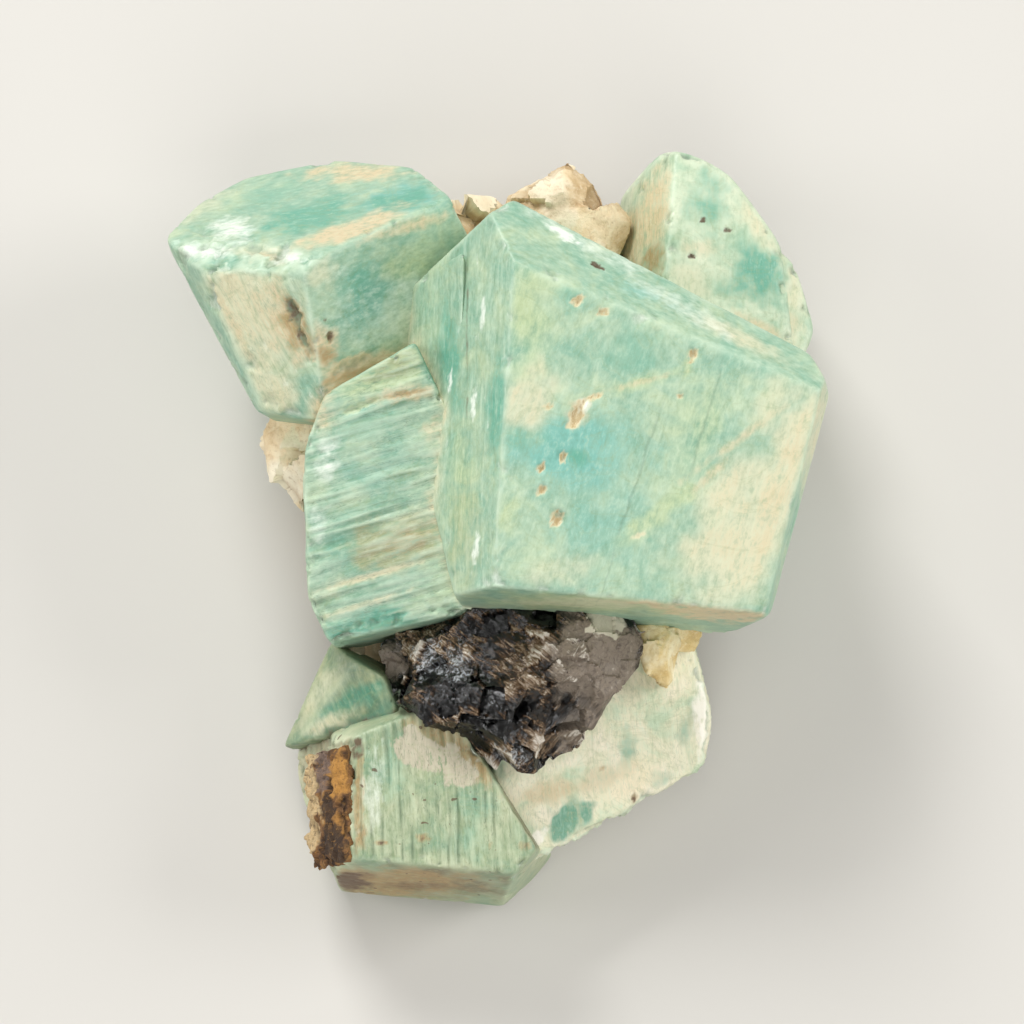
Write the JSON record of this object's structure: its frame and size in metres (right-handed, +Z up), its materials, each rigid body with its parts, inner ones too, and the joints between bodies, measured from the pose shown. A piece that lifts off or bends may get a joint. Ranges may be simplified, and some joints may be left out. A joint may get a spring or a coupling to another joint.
{
  "type": "rough amazonite crystal specimen with smoky quartz",
  "caption": "Cluster of blocky green amazonite crystals with a broken smoky quartz mass, on tan feldspar, lying on its broken back.",
  "frame": {"origin": "centre of the bounding box on the ground, under the specimen", "axes": "+Y up the specimen towards its wide crystal end, +Z up, away from the ground; the specimen lies on its broken back"},
  "size_m": [0.0924, 0.1094, 0.0528],
  "materials": {
    "amazonite": "pearly cleavage, soft green with pale streaks",
    "smoky_quartz": "glassy conchoidal fracture",
    "cream_albite": "satin, slightly waxy",
    "iron_oxide": "matte earthy crust",
    "feldspar": "matte broken feldspar"
  },
  "bodies": {
    "root": {"amazonite_crystals_upper": "amazonite", "amazonite_crystals_lower": "amazonite", "smoky_quartz": "smoky_quartz", "cream_albite": "cream_albite", "iron_oxide_crust": "iron_oxide", "feldspar_matrix": "feldspar"}
  },
  "joints": []
}
